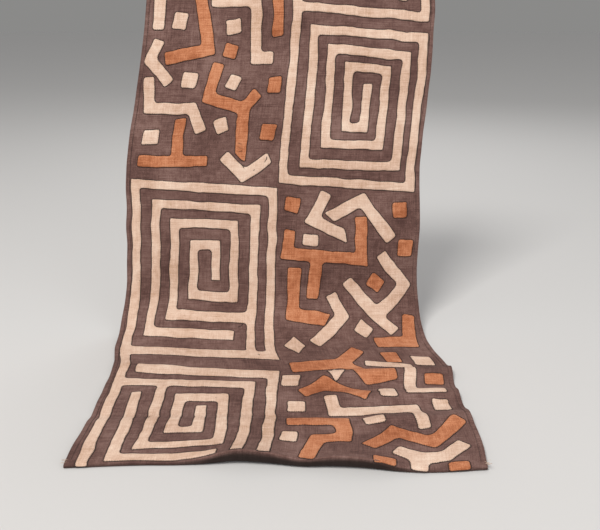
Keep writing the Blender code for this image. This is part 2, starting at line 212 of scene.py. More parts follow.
# Left end across and along, right end across and along, height, half width.
RIPPLES = (
    (3, 110.7, 42, 107.2, 1.5, 2.3),
    (4, 118.7, 42, 115.9, 1.1, 2.3),
    (14, 126.0, 42, 124.6, 1.2, 2.3),
    (-42, 104.0, -18, 106.5, 0.5, 3.0),
    (-42, 120.5, -22, 119.5, 0.4, 3.0),
    (-42, 113.5, 2, 114.5, 0.25, 3.5),
)
RIPPLE_FADE = 0.06
RIPPLE_WANDER = 0.004
RIPPLE_WANDER_SIZE = 0.07
left_edge = Curve(EDGES, 1)
right_edge = Curve(EDGES, 2)
front_reach = Curve(FRONT_REACH)
front_lift = Curve(FRONT_LIFT)
print("ripples:", len(RIPPLES))

# %% [markdown]
# Seen from the side the cloth leans back a little, bends towards the viewer in a wide sweep and
# runs along the floor. Its slope is written down as a lean that grows along the cloth, softened a
# little, and added up step by step. Adding up the slope keeps the cloth's length true, which
# moving points about would not.

# %% Side profile
PROFILE_STEP = 0.0005
SOFTENING_STEPS = 61


def side_profile():
    """Place along, y and z of the cloth's side view down to its front end."""
    along = np.arange(0, S_FRONT + PROFILE_STEP, PROFILE_STEP)
    lean = np.interp(along, (0, HUNG_RUN, S_FLOOR), (LEAN_TOP, LEAN_FOOT, math.pi / 2))
    padded = np.pad(lean, SOFTENING_STEPS // 2, mode="edge")
    lean = np.convolve(padded, np.ones(SOFTENING_STEPS) / SOFTENING_STEPS, mode="valid")
    y = -np.cumsum(np.sin(lean)) * PROFILE_STEP
    z = -np.cumsum(np.cos(lean)) * PROFILE_STEP
    return along, y, z * (FLOOR_Z + GROUND_THICK / 2) / z[-1]


PROFILE = side_profile()
print(f"front end at y {PROFILE[1][-1]:.3f} m")

# %% [markdown]
# The drape is one function: give it places on the flat cloth and it gives points in the room. Up
# to the front fold it adds ripples and the lifted front to the side profile. Past the fold the
# cloth turns under in a tight bend, drawn with a Bezier curve, and its last 11 cm lie flat on the
# floor beneath the rest.

# %% The drape
FOLD_RADIUS = 0.003
FLAP_RISE_FROM = 0.160
FLAP_RISE_RUN = 0.030
LIFT_RUN = 0.110
LIFT_BACK = 0.7
REACH_FROM = 0.36
FOLD_REACH = 4 / 3 * FOLD_RADIUS
EDGE_WANDER = 0.0014
EDGE_WANDER_SIZE = 0.045
SLOPE_STEP = 0.0004
# Lines left by years of folding: place along, where they start across, height in metres.
FOLD_LINES = (
    (31.0, -36, 0.0005),
    (67.0, -36, 0.0004),
    (78.8, 1, 0.0008),
)
FOLD_LINE_HALF = 0.006
FOLD_LINE_FADE = 0.02
SWELL_SIZE = 0.05
SWELL_SQUEEZE = 0.6
SWELL_HEIGHT = 0.0009
DENT_SIZE = 0.014
DENT_HEIGHT = 0.00025
CALM_FRONT = 0.004
CALM_RUN = 0.03


def ripple_height(across, along):
    """Height of the ripples of the lying cloth."""
    height = np.zeros_like(along)
    for u0, s0, u1, s1, rise, half in RIPPLES:
        share = (across / CM - u0) / (u1 - u0)
        crest = (s0 + (s1 - s0) * share) * CM
        crest = crest + RIPPLE_WANDER * unevenness(across, crest, RIPPLE_WANDER_SIZE, int(s0))
        run = (u1 - u0) * CM
        fade = smooth(share * run / RIPPLE_FADE) * smooth((1 - share) * run / RIPPLE_FADE)
        height = height + rise * CM * fade * np.exp(-(((along - crest) / (half * CM)) ** 2))
    return height


def cloth_x(across, along):
    """The x of a place, between the cloth's two wandering edges."""
    left = left_edge(along) + EDGE_WANDER * unevenness(0 * along, along, EDGE_WANDER_SIZE, 1)
    right = right_edge(along) + EDGE_WANDER * unevenness(0 * along, along, EDGE_WANDER_SIZE, 2)
    return left + (right - left) * (across / HALF_WIDTH + 1) / 2


def lying_point(across, along):
    """Points up to the front fold, at the middle of the cloth's thickness."""
    y = np.interp(along, PROFILE[0], PROFILE[1])
    z = np.interp(along, PROFILE[0], PROFILE[2])
    over_flap = smooth((along - S_FRONT + FLAP_RISE_FROM) / FLAP_RISE_RUN)
    lift = np.maximum(0.0, 1 - (S_FRONT - along) / LIFT_RUN)
    ends = smooth((along - S_FLOOR) / RIPPLE_FADE) * smooth((S_FRONT - along) / RIPPLE_FADE)
    z = z + 2 * FOLD_RADIUS * over_flap + ripple_height(across, along) * ends
    z = z + front_lift(across) * lift * lift
    y = y - front_reach(across) * smooth(1 - (S_FRONT - along) / REACH_FROM)
    return np.stack((cloth_x(across, along), y, z), axis=-1)


def fold_point(across, along):
    """Points of the front fold and of the flap turned under it."""
    high = lying_point(across, np.full_like(along, S_FRONT))
    lift = front_lift(across)
    high[:, 0] = cloth_x(across, along)
    low = high.copy()
    low[:, 1] += lift * LIFT_BACK
    low[:, 2] = FLOOR_Z + GROUND_THICK / 2
    over = high.copy()
    over[:, 1] -= FOLD_REACH
    over[:, 2] += FOLD_REACH * 2 * lift / LIFT_RUN
    under = low.copy()
    under[:, 1] -= FOLD_REACH + lift * LIFT_BACK / 2
    t = np.clip((along - S_FRONT) / FOLD_RUN, 0, 1)[:, None]
    bend = (high * (1 - t) ** 3 + over * 3 * t * (1 - t) ** 2
            + under * 3 * t * t * (1 - t) + low * t ** 3)
    bend[:, 1] += np.maximum(0, along - S_FLAP)
    return bend


def cloth_point(across, along):
    """Points of the middle of the cloth for places across and along it."""
    lying = lying_point(across, np.minimum(along, S_FRONT))
    return np.where((along > S_FRONT)[:, None], fold_point(across, along), lying)


def cloth_normal(across, along):
    """The directions in which the face looks."""
    side = cloth_point(across + SLOPE_STEP, along) - cloth_point(across - SLOPE_STEP, along)
    down = cloth_point(across, along + SLOPE_STEP) - cloth_point(across, along - SLOPE_STEP)
    facing = np.cross(down, side)
    return facing / np.linalg.norm(facing, axis=1)[:, None]


def wrinkle(across, along):
    """Small dents, swells and fold lines of the stiff fibre, none of them below the floor."""
    large = unevenness(across, along * SWELL_SQUEEZE, SWELL_SIZE, 11)
    small = unevenness(across, along, DENT_SIZE, 12)
    height = SWELL_HEIGHT * large + DENT_HEIGHT * small
    for crease, start, rise in FOLD_LINES:
        ridge = np.exp(-(((along - crease * CM) / FOLD_LINE_HALF) ** 2))
        height = height + rise * ridge * smooth((across - start * CM) / FOLD_LINE_FADE)
    on_floor = smooth((along - HUNG_RUN) / SWEEP_RUN)
    height = height + (SWELL_HEIGHT + DENT_HEIGHT) * on_floor
    return height * smooth((S_FRONT - CALM_FRONT - along) / CALM_RUN)


def place(across, along, height):
    """Points at a height off the middle of the cloth."""
    off = (wrinkle(across, along) + height)[:, None]
    return cloth_point(across, along) + cloth_normal(across, along) * off


corner_test = place(np.array([0.0]), np.array([0.0]), np.array([0.0]))
print("middle of the top edge:", np.round(corner_test[0], 4).tolist())

# %% [markdown]
# Materials come next. Shader maths is easier to read as ordinary sums, so one small class wraps a
# number's socket and turns Python's operators into Math nodes. Everything else, such as a noise
# or a colour mix, comes from one method that takes the node's type, its settings and its inputs.


# %% Shader maths in Python
class Wire:
    """A value in a material; sums with it add Math nodes."""

    def __init__(self, tree, socket):
        self.tree = tree
        self.socket = socket

    def maths(self, operation, *others, swap=False):
        node = self.tree.nodes.new("ShaderNodeMath")
        node.operation = operation
        values = (self, *others)[::-1] if swap else (self, *others)
        for entry, value in zip(node.inputs, values):
            if isinstance(value, Wire):
                self.tree.links.new(value.socket, entry)
            else:
                entry.default_value = value
        return Wire(self.tree, node.outputs[0])

    def __add__(self, other):
        return self.maths("ADD", other)

    def __radd__(self, other):
        return self.maths("ADD", other)

    def __sub__(self, other):
        return self.maths("SUBTRACT", other)

    def __rsub__(self, other):
        return self.maths("SUBTRACT", other, swap=True)

    def __mul__(self, other):
        return self.maths("MULTIPLY", other)

    def __rmul__(self, other):
        return self.maths("MULTIPLY", other)


class Finish:
    """A material being made."""

    def __init__(self, name):
        self.material = bpy.data.materials.new(name)
        self.material.use_nodes = True
        self.tree = self.material.node_tree
        self.shader = self.tree.nodes["Principled BSDF"]

    def node(self, kind, settings=(), inputs=(), output=0):
        node = self.tree.nodes.new("ShaderNode" + kind)
        for key, value in dict(settings).items():
            setattr(node, key, value)
        for key, value in dict(inputs).items():
            if isinstance(value, Wire):
                self.tree.links.new(value.socket, node.inputs[key])
            else:
                node.inputs[key].default_value = value
        return Wire(self.tree, node.outputs[output])

    def mix(self, factor, first, second, blend="MIX"):
        """Two colours mixed by a factor."""
        settings = {"data_type": "RGBA", "blend_type": blend, "clamp_factor": True}
        return self.node("Mix", settings, {0: factor, 6: first, 7: second}, output=2)

    def feed(self, socket_name, wire):
        self.tree.links.new(wire.socket, self.shader.inputs[socket_name])


print("shader helpers ready")

# %% [markdown]
# Raffia is a leaf fibre split by hand, so its threads vary in width and in tone, and the cloth
# shows streaks both ways. Two stretched noises make the streaks of the warp and the weft. Three
# even ones make the slow change of the dye over the cloth, its mottling and the fine grain, and a
# last one the small dark specks. The weave itself is relief: sines across and along, multiplied,
# rise and fall like threads that pass over and under. All of it reads the flat places that each
# mesh keeps in its UV map, in metres, so the weave bends with the cloth and keeps its scale.

# %% The raffia finish
THREAD_PITCH = 0.0011
# Noises in the tone: spots per metre across and along, seed, share in the change of tone.
NOISES = {
    "warp": (640.0, 18.0, 3.0, 0.65),
    "weft": (18.0, 640.0, 17.0, 0.9),
    "dye": (9.0, 9.0, 29.0, 1.0),
    "mottle": (70.0, 70.0, 41.0, 0.6),
    "grain": (380.0, 520.0, 47.0, 0.8),
}
SPECKS = (260.0, 260.0, 53.0)
SPECK_LEVEL = 0.71
SPECK_EDGE = 14.0
SPECK_MOST = 0.55
SHADE_COLOUR = (0.022, 0.014, 0.012, 1.0)
NOISE_LOOK = {"Scale": 1.0, "Detail": 2.0, "Roughness": 0.6}
ROUGHNESS = 0.94
ROUGHNESS_BY_TONE = -0.12
WEAVE_HEIGHT = 0.25
STREAK_HEIGHT = 0.9
RELIEF = {"Strength": 0.55, "Distance": 0.0005}
DRYNESS = {"Specular IOR Level": 0.10, "Sheen Weight": 0.03, "Sheen Roughness": 0.6}


def streak(finish, uv, across, along, seed):
    """A noise between 0 and 1, stretched into threads where its two sizes differ."""
    stretched = finish.node("VectorMath", {"operation": "MULTIPLY_ADD"},
                            {0: uv, 1: (across, along, 1.0), 2: (seed, seed, seed)})
    return finish.node("TexNoise", {}, {"Vector": stretched, **NOISE_LOOK})


def raffia(name, dark, plain, light, contrast):
    """A dry, matt woven finish from three tones of one dye."""
    finish = Finish(name)
    uv = finish.node("UVMap", {"uv_map": "flat"})
    tone = 0.5
    noises = {}
    for key, (across, along, seed, share) in NOISES.items():
        noises[key] = streak(finish, uv, across, along, seed)
        tone = tone + (noises[key] - 0.5) * (contrast * share)
    low = finish.mix(tone * 2.0, dark, plain)
    colour = finish.mix(tone * 2.0 - 1.0, low, light)
    speck = (streak(finish, uv, *SPECKS) - SPECK_LEVEL) * SPECK_EDGE
    speck = speck.maths("MAXIMUM", 0.0).maths("MINIMUM", SPECK_MOST)
    colour = finish.mix(speck, colour, dark)
    # The shade mark darkens the colour: painted shade, dirt and darker bands.
    shade = finish.node("Attribute", {"attribute_name": "shade"}, output=2)
    colour = finish.mix(shade, colour, SHADE_COLOUR)
    finish.feed("Base Color", colour)
    finish.feed("Roughness", tone * ROUGHNESS_BY_TONE + ROUGHNESS)
    parts = finish.node("SeparateXYZ", {}, {0: uv})
    other = Wire(finish.tree, parts.socket.node.outputs[1])
    turn = math.pi / THREAD_PITCH
    weave = (parts * turn).maths("SINE") * (other * turn).maths("SINE")
    relief = weave * WEAVE_HEIGHT + (noises["warp"] + noises["weft"]) * STREAK_HEIGHT
    finish.feed("Normal", finish.node("Bump", {}, {**RELIEF, "Height": relief}))
    for key, value in DRYNESS.items():
        finish.shader.inputs[key].default_value = value
    return finish.material


# Dye: its dark, plain and light tone, and how strongly the tones change.
DYES = {
    "brown": ((0.083, 0.042, 0.036, 1), (0.154, 0.083, 0.070, 1), (0.250, 0.151, 0.129, 1), 1.5),
    "cream": ((0.49, 0.30, 0.20, 1), (0.69, 0.48, 0.365, 1), (0.85, 0.67, 0.54, 1), 1.2),
    "orange": ((0.29, 0.088, 0.035, 1), (0.490, 0.180, 0.084, 1), (0.65, 0.290, 0.155, 1), 1.5),
}
FINISHES = {dye: raffia(dye + " raffia", *tones) for dye, tones in DYES.items()}
print("finishes:", ", ".join(FINISHES))

# %% [markdown]
# Every piece of cloth is made the same way: a flat plan on the cutting table, whose z says how
# far up the thickness a point lies, is doubled downwards by an extrusion, and then each point is
# carried to its place on the drape. The flat places stay behind as the UV map, and a second mark
# on each point says how much it is darkened there: painted shade, dirt and darker bands.

# %% Laying a flat plan on the cloth
SHARP_EDGE = math.radians(60)


def finish_piece(name, mesh, colour):
    """Turn a finished bmesh into an object that rides with the cloth."""
    data = bpy.data.meshes.new(name)
    mesh.to_mesh(data)
    mesh.free()
    data.materials.append(FINISHES[colour])
    data.shade_smooth()
    data.set_sharp_from_angle(angle=SHARP_EDGE)
    piece = bpy.data.objects.new(name, data)
    bpy.context.scene.collection.objects.link(piece)
    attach(piece, "root")
    return piece


def lay(mesh, base, thickness, shading):
    """Give a flat plan its underside and carry it onto the drape."""
    grown = bmesh.ops.extrude_face_region(mesh, geom=mesh.faces[:], use_keep_orig=True)
    for v in grown["geom"]:
        if isinstance(v, bmesh.types.BMVert):
            v.co.z = 0.0
    flat = mesh.loops.layers.uv.new("flat")
    dark = mesh.verts.layers.float.new("shade")
    for face in mesh.faces:
        for loop in face.loops:
            loop[flat].uv = loop.vert.co.xy
    spots = np.array([v.co[:] for v in mesh.verts])
    across, along, share = spots.T
    points = place(across, along, base + share * thickness(across, along))
    for v, point, shade in zip(mesh.verts, points, shading(across, along, share)):
        v.co = point
        v[dark] = shade
    bmesh.ops.recalc_face_normals(mesh, faces=mesh.faces[:])


print("ready to lay cloth")

# %% [markdown]
# The ground cloth is a fine grid. Most rows are 6 mm apart; the rows close up where the front
# fold turns the cloth right round within 2 cm. Its side hems and top hem are turned over and
# stitched on the real cloth, so the sheet is a little thicker there.

# %% Ground cloth
GROUND_COLUMNS = 130
GROUND_ROWS = 262
FOLD_ROW_SHARES = (0.0, 0.86, 0.94, 1.0)
HEM_COLUMN_SHARES = (0.0, 0.05, 0.95, 1.0)
CLOSE_BEFORE = 0.006
CLOSE_AFTER = 0.004
HEM_COLUMNS = 0.012
HEM_WIDTH = 0.009
HEM_WANDER = 0.0012
HEM_WANDER_SIZE = 0.05
HEM_RISE = 0.0011
HEM_RAMP = 0.0015
HEM_END_RAMP = 0.004


def hem_wander(along):
    """How much wider than planned each side hem is turned."""
    return HEM_WANDER * unevenness(0 * along, along, HEM_WANDER_SIZE, 21)


def ground_thickness(across, along):
    """Thickness of the ground cloth, more along its hems."""
    inside_hem = np.abs(across) - HALF_WIDTH + HEM_WIDTH + hem_wander(along)
    side = smooth(inside_hem / HEM_RAMP + 0.5)
    top = smooth((HEM_WIDTH - along) / HEM_RAMP + 0.5)
    before_fold = smooth((S_FRONT - along) / HEM_END_RAMP)
    return GROUND_THICK + HEM_RISE * np.maximum(side, top) * before_fold


# Painted shade, from 0 to 1, in the turned front end, which faces the floor: all of it, and more
# where the fold is lifted.
FRONT_SHADE = 0.42
LIFTED_SHADE = 0.50
LIFTED_BY = 0.012
FRONT_SHADE_FROM = 0.002
FRONT_SHADE_RUN = 0.006
# A darker band above an old fold line: where it starts along, grows and ends, how dark it is on
# the left and how much more on the right of a line, and how soft its end and that line are.
DULL_FROM = 0.60
DULL_RUN = 0.14
DULL_END = 0.784
DULL_LEFT = 0.03
DULL_MORE_RIGHT = 0.07
DULL_LINE = 0.012
DULL_EDGES = (0.003, 0.004)
# How much darker the side edges are, how far in that reaches and how soft its inner side is.
HEM_DARKENING = 0.15
HEM_DARKENING_WIDTH = 0.003
HEM_DARKENING_SOFTNESS = 0.002


def ground_shading(across, along, share):
    """Painted shade in the turned front end, darker hem edges, a darker band above an old fold
    line.
    """
    # Painted shade under the turned front end, deepest where the fold is lifted off the floor.
    lifted = np.minimum(front_lift(across) / LIFTED_BY, 1)
    front = smooth((along - S_FRONT - FRONT_SHADE_FROM) / FRONT_SHADE_RUN)
    front = (FRONT_SHADE + LIFTED_SHADE * lifted) * front
    # A darker band above the old fold line, more on its right.
    below_fold = smooth((along - DULL_END) / DULL_EDGES[0])
    on_right = smooth((across - DULL_LINE) / DULL_EDGES[1])
    dull = (DULL_LEFT + DULL_MORE_RIGHT * on_right) * smooth((along - DULL_FROM) / DULL_RUN)
    # Darker along the side edges.
    hem = HEM_DARKENING * smooth((np.abs(across) - HALF_WIDTH + HEM_DARKENING_WIDTH) / HEM_DARKENING_SOFTNESS)
    return front + dull * (1 - below_fold) + hem * (1 - front)


def ground_plan():
    """The flat grid of the ground cloth."""
    mesh = bmesh.new()
    bmesh.ops.create_grid(mesh, x_segments=GROUND_COLUMNS, y_segments=GROUND_ROWS, size=0.5)
    along = (0.0, S_FRONT - CLOSE_BEFORE, S_FLAP + CLOSE_AFTER, S_END)
    across = (-HALF_WIDTH, HEM_COLUMNS - HALF_WIDTH, HALF_WIDTH - HEM_COLUMNS, HALF_WIDTH)
    for v in mesh.verts:
        v.co = (np.interp(v.co.x + 0.5, HEM_COLUMN_SHARES, across),
                np.interp(v.co.y + 0.5, FOLD_ROW_SHARES, along), 1.0)
    return mesh


ground = ground_plan()
lay(ground, -GROUND_THICK / 2, ground_thickness, ground_shading)
ground_cloth = finish_piece("ground_raffia", ground, "brown")
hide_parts("ground_cloth")
print("ground faces:", len(ground_cloth.data.polygons))

# %% [markdown]
# The sewn pieces are strips and small squares. A strip is planned like a road: a route of places,
# a width, and a mitre wherever it bends, forks or joins. A road's end is cut square or at a
# slant. Joining the roads' pieces into one outline leaves the shape that somebody cut from the
# cream or orange cloth.

# %% Planning a strip
MITRE_LIMIT = 1.9
# Place along, how much longer than wide a piece is cut there.
STRETCH = (
    (0, 1.0),
    (78, 1.0),
    (84, 1.2),
    (89, 1.42),
    (96, 1.6),
    (106, 1.6),
    (112, 1.35),
    (118, 1.28),
    (126, 1.0),
    (160, 1.0),
)


def lengthened(arm, along, share):
    """An arm of a plan with the stretch of its place along the cloth."""
    stretch = float(np.interp(along / CM, *np.array(STRETCH).T))
    return Vector((arm.x, arm.y * (1 + (stretch - 1) * share), 0))


def turned(direction, angle):
    """A flat direction turned by an angle."""
    return (Matrix.Rotation(angle, 3, "Z") @ direction).freeze()


def mitre(first, second, half):
    """Where the sides of two strips meet, measured from their shared place."""
    opening = (math.atan2(second.y, second.x) - math.atan2(first.y, first.x)) % (2 * math.pi)
    return turned(first, opening / 2) * min(half / math.sin(opening / 2), MITRE_LIMIT * half)


def strip_plan(routes, width, share):
    """A flat plan of strips that follow routes and join where the routes share a place."""
    links = {}
    for route in routes:
        for a, b in zip(route, route[1:]):
            links.setdefault(a, []).append(b)
            links.setdefault(b, []).append(a)
    mesh = bmesh.new()
    half = width * CM / 2
    sides = {}
    for point, others in links.items():
        centre = Vector((point[0], point[1], 0)) * CM
        ways = sorted((math.atan2(o[1] - point[1], o[0] - point[0]), o) for o in others)
        rays = [Vector((math.cos(angle), math.sin(angle), 0)) for angle, _ in ways]
        if len(rays) == 1:
            skew = point[2] * CM / 2 if len(point) > 2 else 0.0
            arms = [turned(rays[0], math.pi / 2 * k) * half - rays[0] * (skew * k)
                    for k in (1, -1)]
        else:
            arms = [mitre(rays[i], rays[(i + 1) % len(rays)], half) for i in range(len(rays))]
        ring = [mesh.verts.new(centre + lengthened(arm, centre.y, share)) for arm in arms]
        if len(rays) == 1:
            sides[point, ways[0][1]] = ring
            continue
        for i, (_, other) in enumerate(ways):
            sides[point, other] = [ring[i], ring[i - 1]]
        if len(ring) > 2:
            bmesh.ops.contextual_create(mesh, geom=ring)
    for route in routes:
        for a, b in zip(route, route[1:]):
            bmesh.ops.contextual_create(mesh, geom=sides[a, b] + sides[b, a])
    return mesh


def square_plan(across, along, width, length, turn):
    """A flat plan of one small square."""
    mesh = bmesh.new()
    bmesh.ops.create_grid(mesh, x_segments=1, y_segments=1, size=0.5)
    size = Matrix.Diagonal((width * CM, length * CM, 1.0))
    for v in mesh.verts:
        arm = lengthened(turned(size @ v.co, math.radians(turn)), along * CM, 1)
        v.co = arm + Vector((across, along, 0)) * CM
    return mesh


print("strip planner ready")

# %% [markdown]
# Nobody cuts raffia straight. The corners are rounded, less where a piece points outwards than
# in its inner corners, and each outline wanders by a millimetre or two. An inset then marks the
# narrow margin that is pressed down by the stitches, and parallel cuts give the piece enough
# points to follow the drape.

# %% Cutting by hand
CORNER_CUT = 0.0034
MOTIF_CORNER_CUT = 0.0052
SQUARE_CORNER_CUT = 0.005
INNER_CORNER_CUT = 0.0080
SHARP_TURN = math.radians(25)
OUTLINE_STEP = 0.007
CUT_WANDER = 0.0020
CUT_WANDER_SIZE = 0.035
CUT_NICK_SIZE = 0.011
CUT_NICK_SHARE = 0.45
MARGIN = 0.0014
EDGE_LEVEL = 0.25
CUT_STEP = 0.0065


def outline_turn(v):
    """How sharply the outline turns at a point."""
    near = [e.other_vert(v).co for e in v.link_edges if e.is_boundary]
    if len(near) != 2:
        return 0.0
    return math.pi - (near[0] - v.co).angle(near[1] - v.co)


def points_outward(v):
    """Whether the cloth lies inside the angle of an outline's corner."""
    return all(loop.is_convex for loop in v.link_loops)


def cut_by_hand(mesh, corner_cut, seed):
    """Join a plan into one outline with rounded corners and a wandering edge."""
    joins = [e for e in mesh.edges
             if not e.is_boundary and max(outline_turn(v) for v in e.verts) > SHARP_TURN]
    bmesh.ops.dissolve_edges(mesh, edges=joins, use_verts=False)
    mesh.normal_update()
    corners = [v for v in mesh.verts if outline_turn(v) > SHARP_TURN]
    outer = [v for v in corners if points_outward(v)]
    inner = [v for v in corners if v not in set(outer)]
    for group, offset in ((outer, corner_cut), (inner, INNER_CORNER_CUT)):
        bmesh.ops.bevel(mesh, geom=group, affect="VERTICES", offset=offset, segments=3,
                        profile=0.5, material=-1, clamp_overlap=True)
    for edge in [e for e in mesh.edges if e.is_boundary]:
        count = int(edge.calc_length() / OUTLINE_STEP)
        if count:
            bmesh.ops.subdivide_edges(mesh, edges=[edge], cuts=count)
    spots = np.array([v.co[:] for v in mesh.verts])
    for axis in (0, 1):
        wide = unevenness(spots[:, 0], spots[:, 1], CUT_WANDER_SIZE, 100 + 2 * seed + axis)
        fine = unevenness(spots[:, 0], spots[:, 1], CUT_NICK_SIZE, 300 + 2 * seed + axis)
        spots[:, axis] += CUT_WANDER * (wide + CUT_NICK_SHARE * fine)
    for v, spot in zip(mesh.verts, spots):
        v.co = spot
    for face in mesh.faces:
        face.normal_update()
        if face.normal.z < 0:
            face.normal_flip()


def outlines(mesh):
    """The closed outlines of a flat plan, each with the cloth on its left."""
    after = {}
    for edge in mesh.edges:
        if edge.is_boundary:
            loop = edge.link_loops[0]
            after[loop.vert] = loop.link_loop_next.vert
    paths = []
    while after:
        start, v = after.popitem()
        path = [start.co.xy[:]]
        while v != start:
            path.append(v.co.xy[:])
            v = after.pop(v)
        paths.append(np.array(path))
    return paths


def press_margin_and_divide(mesh):
    """Mark the pressed margin and divide the plan so that it can bend."""
    bmesh.ops.inset_region(mesh, faces=mesh.faces[:], thickness=MARGIN, use_boundary=True,
                           use_even_offset=True)
    for v in mesh.verts:
        v.co.z = EDGE_LEVEL if v.is_boundary else 1.0
    spots = np.array([v.co[:] for v in mesh.verts])
    for axis in (0, 1):
        low, high = spots[:, axis].min(), spots[:, axis].max()
        normal = Vector((1 - axis, axis, 0))
        for line in np.arange(low + CUT_STEP / 2, high, CUT_STEP):
            geometry = mesh.verts[:] + mesh.edges[:] + mesh.faces[:]
            bmesh.ops.bisect_plane(mesh, geom=geometry, dist=1e-6, plane_co=normal * line,
                                   plane_no=normal)


print("outline step", OUTLINE_STEP, "m, margin", MARGIN, "m")

# %% [markdown]
# These are the strips, with their routes in centimetres across and along the cloth. Reading them
# is like reading the cloth: spirals on three of its panels, and on the others elbows, forks and
# steps of the kind that these cloths are known for, each placed by eye and none quite straight.

# %% Table of strips
# Name, colour, width, share of the stretch, routes. A third number at an end is how much farther
# one side of its slanted cut reaches.
STRIPS = (
    ("cream_bar_top", "cream", 2.8, 1, (((-32, 3.5), (-31.5, 17.5)),)),
    ("orange_elbow_top", "orange", 3.0, 1, (((-22.5, 7), (-19, 22), (-29.3, 24.1)),)),
    ("cream_hook_top", "cream", 2.7, 1, (((-19, 11), (-8.5, 11), (-7.3, 24.0), (-3.2, 23.8)),)),
    ("orange_bar_top", "orange", 2.6, 1, (((-3.3, 5), (-2.5, 19)),)),
    ("cream_chevron_left", "cream", 2.6, 1, (((-31, 19.8), (-32.6, 24.5), (-27.3, 29.7)),)),
    ("orange_fork", "orange", 2.8, 1, (((-16, 25), (-17.5, 33), (-8.5, 35.5)),
                                       ((-5.8, 31.7), (-8.5, 35.5), (-8.1, 47, 2.4)))),
    ("cream_zigzag", "cream", 2.6, 1, (((-32.5, 28.2), (-31.5, 35.5), (-21, 35.5), (-18.2, 41)),)),
    ("orange_tee", "orange", 2.7, 1, (((-23.5, 37.8), (-23, 47.7)),
                                      ((-32.5, 47.7), (-23, 47.7), (-15.8, 47.7)))),
    ("cream_vee", "cream", 2.7, 1, (((-12, 46.5), (-7, 51.2), (-1, 47)),)),
    ("cream_elbow_right", "cream", 2.8, 1, (((12.8, 55.1), (9.4, 61.5), (17.6, 65.5, -2.2)),)),
    ("cream_chevron_right", "cream", 2.9, 1, (((13.4, 60.9, -1.2), (21.3, 57.0), (28.4, 66.2)),)),
    ("orange_cup", "orange", 2.9, 1, (((4, 64), (3.5, 69.5), (11, 70.1), (21.5, 71), (20.8, 60.8)),
                                      ((11, 70.1), (9.6, 80.4)))),
    ("cream_fork", "cream", 2.7, 1, (((26, 69.5), (32, 77), (25, 84.6)),
                                     ((18, 76), (25, 84.6), (28.5, 89)))),
    ("orange_elbow_middle", "orange", 3.0, 1, (((5.5, 72.7), (5, 84), (13.3, 85.6, 1.4)),)),
    ("cream_elbow_middle", "cream", 2.8, 1, (((14, 79.2), (16.8, 84.5), (9.4, 93.4)),)),
    ("orange_corner", "orange", 2.9, 1, (((32.2, 84.3), (31.2, 93), (23, 93)),)),
    ("orange_branch", "orange", 2.8, 1, (((18.3, 96.5), (13.5, 103), (2.2, 104.9)),
                                         ((13.5, 103), (18, 110.6), (23.3, 109)))),
    ("cream_step_right", "cream", 2.5, 0, (((17.8, 103.2), (26.5, 104.6), (26, 116),
                                            (32.8, 116)),)),
    ("orange_chevron", "orange", 2.8, 1, (((4.2, 116.0), (8.7, 112.9), (17.4, 117.7)),)),
    ("cream_step_middle", "cream", 2.5, 1, (((9.7, 118.3), (10.2, 122.8), (25.2, 121.6),
                                             (25.9, 128.8)),)),
    ("orange_curl", "orange", 3.0, 1, (((1.2, 127), (11.3, 126.5), (11.2, 132.2), (6.6, 132.9),
                                        (5, 140.3)),)),
    ("orange_wave", "orange", 3.0, 1, (((15.3, 135), (20.3, 129.9), (26.5, 132.8),
                                       (32.7, 126.5)),)),
    ("cream_horn", "cream", 3.0, 1, (((19.9, 135.6), (24.0, 137.6), (28.4, 137), (32, 133.5)),
                                     ((24.0, 137.6), (23.7, 141)))),
    ("frame_left", "cream", 2.1, 1.3, (((-32.7, 96.5), (-32.7, 75), (-32.7, 53), (0, 55),
                                      (-0.4, 77), (-0.8, 99.6), (-4.9, 99.2), (-32.7, 96.5)),
                                     ((-32.7, 96.5), (-32.7, 111.4), (-32.1, 141.2)),
                                     ((-13.5, 76), (-13.8, 67.5), (-18.8, 67.5), (-19, 79.5),
                                      (-9.2, 80), (-9.3, 62.8), (-23.5, 62.3), (-23.7, 84.2),
                                      (-4.7, 85.2)),
                                     ((-4.9, 99.2), (-4.7, 85.2), (-4.2, 59), (-28, 57.8),
                                      (-28.3, 88.9), (-8.8, 90.5)),
                                     ((-32.7, 111.4), (-23.5, 112), (-6, 113), (-6.5, 140.3)),
                                     ((-23.5, 112), (-23.5, 135.8), (-10.4, 135.4), (-11, 118),
                                      (-19.4, 118), (-19.3, 130.7), (-14.7, 130.7),
                                      (-15, 120.9)))),
    ("band_middle", "cream", 2.1, 1.3, (((-30, 105.9), (-1.5, 108.2), (-2.2, 140.3)),)),
    ("elbow_front", "cream", 2.1, 1.3, (((-28.3, 116), (-27.5, 139.3), (-10, 139.2)),)),
    ("spiral_right", "cream", 2.1, 1, (((1.3, 3.5), (1.5, 12), (2.5, 52), (32.8, 54), (32.8, 19.3),
                                        (6.2, 17.2), (7.3, 48.3), (29.3, 49), (28.9, 23.4),
                                        (10.8, 21.7), (11.8, 43.7), (24.8, 44), (24.4, 26.6),
                                        (15.4, 25.8), (16.3, 39.7), (20.5, 40), (20.3, 29.8)),
                                       ((1.5, 12), (32.6, 14.6), (32.8, 3.5)))),
    ("meander_top", "cream", 2.2, 1, (((6, 4.5), (27.4, 4.5), (27.4, 11.0)),)),
)
